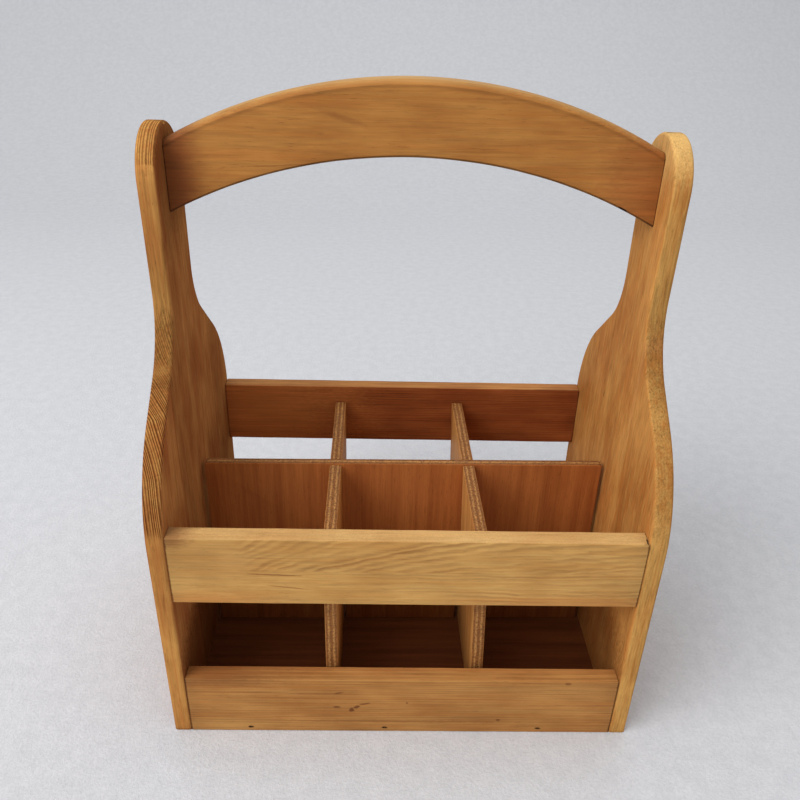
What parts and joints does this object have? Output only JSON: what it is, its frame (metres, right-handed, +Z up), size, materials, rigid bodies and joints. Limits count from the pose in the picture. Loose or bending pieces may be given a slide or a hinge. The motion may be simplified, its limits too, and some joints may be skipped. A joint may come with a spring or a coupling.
{
  "type": "bottle caddy",
  "caption": "Open wooden caddy with tall shaped end boards, slatted rails, an arched carrying handle and a lift-out grid of dividers that keeps drinks bottles apart.",
  "frame": {"origin": "bottom centre of the footprint, on the surface that the caddy stands on", "axes": "+Z up towards the handle, +X along the handle from the left end board to the right, +Y from the front rails to the back rails"},
  "size_m": [0.2378, 0.1586, 0.3131],
  "materials": {
    "end_panel_wood": "stained and varnished pine, satin",
    "rail_wood": "stained and varnished pine, satin",
    "handle_wood": "stained and varnished pine, satin",
    "floor_plywood": "stained plywood, satin",
    "divider_plywood": "stained plywood, satin",
    "brad_steel": "dull, sunk below the surface"
  },
  "bodies": {
    "caddy": {"left_end_panel": "end_panel_wood", "right_end_panel": "end_panel_wood", "handle": "handle_wood", "front_lower_rail": "rail_wood", "front_upper_rail": "rail_wood", "back_lower_rail": "rail_wood", "back_upper_rail": "rail_wood", "floor_panel": "floor_plywood", "left_rail_brads": "brad_steel", "right_rail_brads": "brad_steel", "left_handle_brads": "brad_steel", "right_handle_brads": "brad_steel", "front_floor_brads": "brad_steel", "back_floor_brads": "brad_steel", "left_floor_brads": "brad_steel", "right_floor_brads": "brad_steel"},
    "divider_grid": {"long_divider": "divider_plywood", "left_cross_divider": "divider_plywood", "right_cross_divider": "divider_plywood"}
  },
  "joints": [
    {"name": "divider_lift", "type": "slide", "parent": "caddy", "child": "divider_grid", "axis": [0, 0, 1], "range_m": [0, 0.13]}
  ]
}
